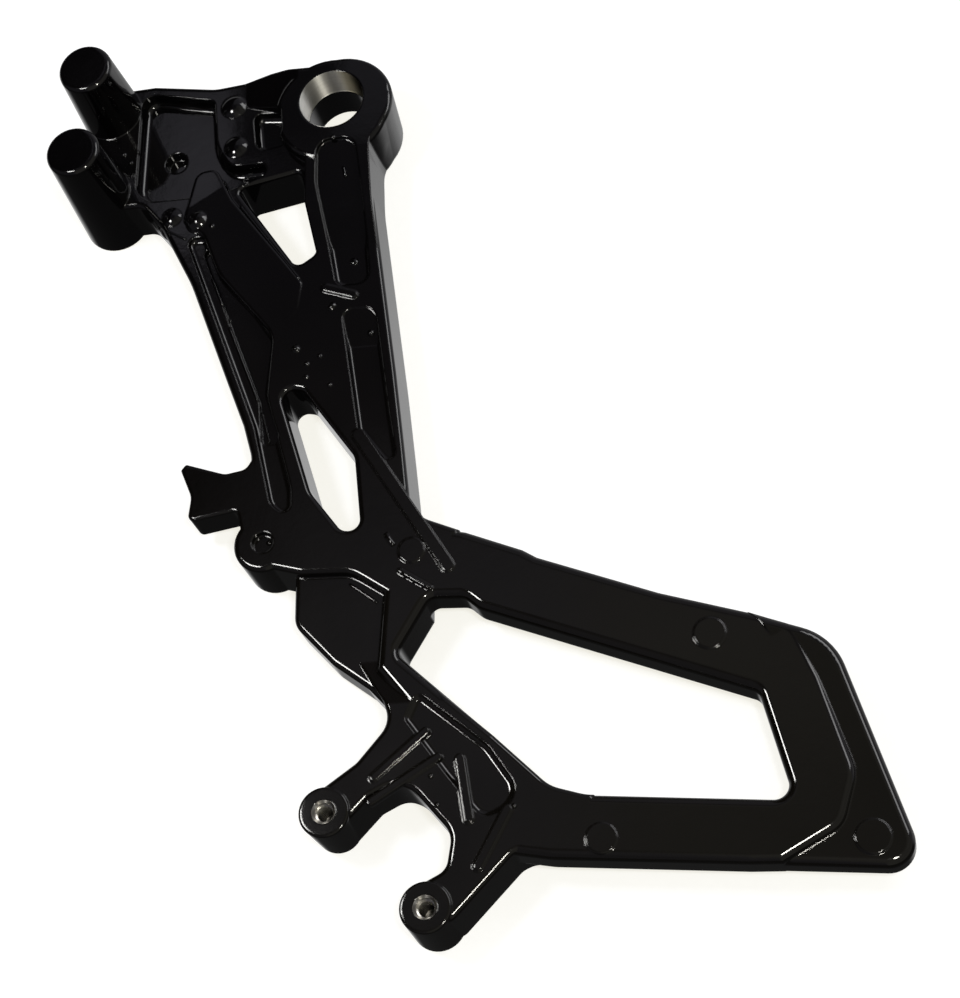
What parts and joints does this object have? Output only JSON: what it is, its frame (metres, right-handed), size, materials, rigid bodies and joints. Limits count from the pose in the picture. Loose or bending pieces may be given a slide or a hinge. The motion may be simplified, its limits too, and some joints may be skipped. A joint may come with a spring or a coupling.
{
  "type": "motorcycle footrest hanger",
  "caption": "Cast aluminium motorcycle footrest hanger with main bore, frame posts, brake cylinder lugs and an open heel guard.",
  "frame": {"origin": "centre of the main bore's mouth, on the face of the side that is turned to the frame", "axes": "+Z along the main bore, out of the side that faces the motorcycle's frame; +Y from the footrest pad up towards the main bore; +X back along the heel guard"},
  "size_m": [0.308, 0.3499, 0.0545],
  "materials": {
    "black_paint": "gloss black paint on cast aluminium, bare where machined"
  },
  "bodies": {
    "root": {"hanger_casting": "black_paint"}
  },
  "joints": []
}
